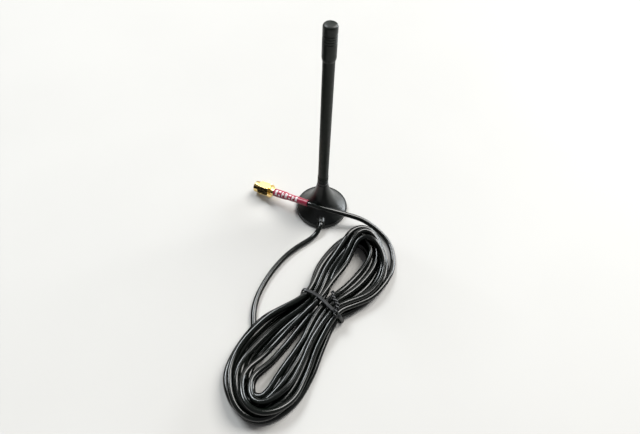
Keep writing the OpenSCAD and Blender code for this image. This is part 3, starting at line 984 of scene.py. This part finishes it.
def marker_sleeve():
    """The heat-shrink sleeve, drawn down over the ferrule's end on to the cable."""
    steps = 144
    ferrule_r, cable_r, over, along = 0.00243, 0.00202, -0.0112, 0.0026

    def outer(x):
        share = min(1, max(0, (over - x) / along))
        return mix((ferrule_r, cable_r), share * share * (3 - 2 * share))

    xs = np.arange(MARKER_X - 0.0001, MARKER_END, -0.0001)
    outline = [(outer(x), x) for x in xs]
    outline += [(cable_r - 0.0001, MARKER_END - 0.00005), (CABLE_R + 0.00002, MARKER_END),
                (CABLE_R + 0.00002, over - along), (0.00205, over), (0.00205, MARKER_X),
                (ferrule_r - 0.00012, MARKER_X)]

    def wrinkled(r, x, angle):
        if r < cable_r - 0.00005:
            return r
        wave = 0.5 * math.sin(2 * angle + 900 * x) + 0.5 * math.sin(3 * angle - 1700 * x + 1.3)
        return r + 0.000022 * wave * min(1, max(0, (MARKER_X - x) / 0.001))

    obj = lathe("marker_heat_shrink", outline, MATERIALS["marker_red"], steps, wrinkled)
    obj.data.materials.append(marker_print())
    rows = len(xs)
    marks = np.zeros(len(obj.data.polygons), dtype=np.int32)
    for i in range(rows - 1):
        for k in range(steps):
            marks[i * steps + k] = is_print(xs[i], 2 * math.pi * (k + 0.5) / steps)
    obj.data.polygons.foreach_set("material_index", marks)
    return obj


def build_plug():
    """Returns the pieces that lie on the cord."""
    return [
        stands_for(along_plug(plug_nut()), "plug_nut", "nut"),
        stands_for(along_plug(plug_shell()), "plug_shell"),
        stands_for(along_plug(plug_pin()), "plug_pin"),
        stands_for(along_plug(marker_sleeve()), "marker_sleeve"),
    ] + [frame["nodes"][n] for n in (
        "crimp_ferrule", "plug_cable_core", "plug_dielectric", "plug_snap_ring", "plug_gasket")]


# ---------------------------------------------------------------- tie


def hull_of(points):
    """The convex outline of points in a plane, anticlockwise."""
    ordered = sorted(map(tuple, points))

    def half(row):
        chain = []
        for p in row:
            while len(chain) > 1 and (
                (chain[-1][0] - chain[-2][0]) * (p[1] - chain[-2][1])
                - (chain[-1][1] - chain[-2][1]) * (p[0] - chain[-2][0])
            ) <= 0:
                chain.pop()
            chain.append(p)
        return chain[:-1]

    return np.array(half(ordered) + half(ordered[::-1]))


def ribbon(name, centres, normals, width, thick, closed, material):
    """A flat strip with rounded edges along the centres. The normals point out of its flat face."""
    count, sides = len(centres), 16
    section = []
    for k in range(sides):
        a = 2 * math.pi * k / sides
        section.append((
            math.copysign(abs(math.cos(a)) ** 0.5, math.cos(a)) * width / 2,
            math.copysign(abs(math.sin(a)) ** 0.7, math.sin(a)) * thick / 2))
    points = []
    for i, (centre, normal) in enumerate(zip(centres, normals)):
        before = centres[(i - 1) % count] if closed or i else centre
        after = centres[(i + 1) % count] if closed or i < count - 1 else centre
        run = (Vector(after) - Vector(before)).normalized()
        side = run.cross(Vector(normal)).normalized()
        up = side.cross(run)
        points += [Vector(centre) + side * a + up * b for a, b in section]
    if closed:
        faces = []
        for i in range(count):
            here, there = i * sides, (i + 1) % count * sides
            for k in range(sides):
                beside = (k + 1) % sides
                faces.append((here + k, here + beside, there + beside, there + k))
    else:
        faces = grid_faces(count, sides)
        faces += [tuple(range(sides)), tuple(range((count - 1) * sides, count * sides))[::-1]]
    return outward(mesh_object(name, points, faces, material, 50))


def outward(obj):
    """Turns a closed mesh's faces outward."""
    bm = bmesh.new()
    bm.from_mesh(obj.data)
    bmesh.ops.recalc_face_normals(bm, faces=bm.faces)
    bm.to_mesh(obj.data)
    bm.free()
    return obj


def tie_slant(w):
    """How far along the hank the tie lies where it crosses the top of the strands."""
    return 0.0014 * math.cos((w + 0.005) / 0.0055) if w > -0.012 else 0.0004


def tie_outline(line, thick):
    """The tie's centre line as (across, height): the tightest way round the strands under it."""
    under_tie, seen_width, clearance = 0.0035, 0.02, 0.0001
    along = (line[:, :2] - HANK_AT) @ HANK_ALONG
    across = (line[:, :2] - HANK_AT) @ HANK_ACROSS
    near = (np.abs(along) < under_tie) & (np.abs(across) < seen_width)
    reach = CABLE_R + thick / 2
    band = hull_of([
        (w + reach * math.cos(a), z + reach * math.sin(a))
        for w, z in zip(across[near], line[near, 2])
        for a in np.linspace(0, 2 * math.pi, 24, endpoint=False)])
    band[:, 1] = np.maximum(band[:, 1], thick / 2 + clearance)
    return resample(np.vstack([band, band[:1]]), 0.0005)[:-1]


def tie_band(band, thick):
    """The tie's strip round the hank."""
    width, top = 0.0019, band[:, 1].max()
    centres, normals = [], []
    middle = np.array([band[:, 0].mean(), top / 2])
    for i, (w, z) in enumerate(band):
        w0, z0 = band[i - 1]
        w1, z1 = band[(i + 1) % len(band)]
        share = min(1, max(0, z / top * 1.3 - 0.2))
        centres.append(hank_point(tie_slant(w) * share, w, z))
        out = np.array([z1 - z0, -(w1 - w0)])
        out *= np.sign(out @ (np.array([w, z]) - middle))
        normals.append((*(out[0] * HANK_ACROSS), out[1]))
    return ribbon("tie_band", centres, normals, width, thick, True, MATERIALS["tie_plastic"])


def tie_end(name, route, step, start):
    """One of the tie's two ends, wound round the other along a route, with a looser first twist."""
    pitch, tight, loose, loose_at, loose_over = 0.0042, 0.00052, 0.0005, 0.0035, 0.0028
    wound = []
    for i, centre in enumerate(route):
        run = Vector(route[min(i + 1, len(route) - 1)] - route[max(i - 1, 0)]).normalized()
        flat = run.cross(Vector((0, 0, 1))).normalized()
        up = flat.cross(run)
        turn = start + 2 * math.pi * i * step / pitch
        apart = tight + loose * math.exp(-(((i * step - loose_at) / loose_over) ** 2))
        wound.append(Vector(centre) + apart * (math.cos(turn) * flat + math.sin(turn) * up))
    normals = [Vector((0, 0, 1))] * len(wound)
    end = ribbon(name, wound, normals, 0.00105, 0.00095, False, MATERIALS["tie_plastic"])
    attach(end, "root")
    return end


def build_tie(line):
    """The plastic-coated wire tie round the hank's middle, its ends twisted together on top."""
    thick, step = 0.0008, 0.0003
    band = tie_outline(line, thick)
    loop = tie_band(band, thick)
    stands_for(loop, "twist_tie")
    over = max(z for w, z in band if 0.002 < w < 0.011) + 0.0007
    twist = [(-0.0035, 0.0108, over - 0.0018), (-0.0008, 0.0098, over), (0.0022, 0.0082, over + 0.0006),
             (0.0036, 0.0056, over + 0.0006), (0.0053, 0.0034, over + 0.0002),
             (0.0078, 0.0019, over - 0.0005)]
    route = spline3([hank_point(*p) for p in twist], step)
    return [loop, tie_end("tie_end_1", route, step, 0), tie_end("tie_end_2", route, step, math.pi)]


# ---------------------------------------------------------------- the scene

place_camera()
set_the_stage()
dress_frame()
cable, cable_line = lay_cord()
build_base()
build_whip()
on_cord = build_plug() + build_tie(cable_line)
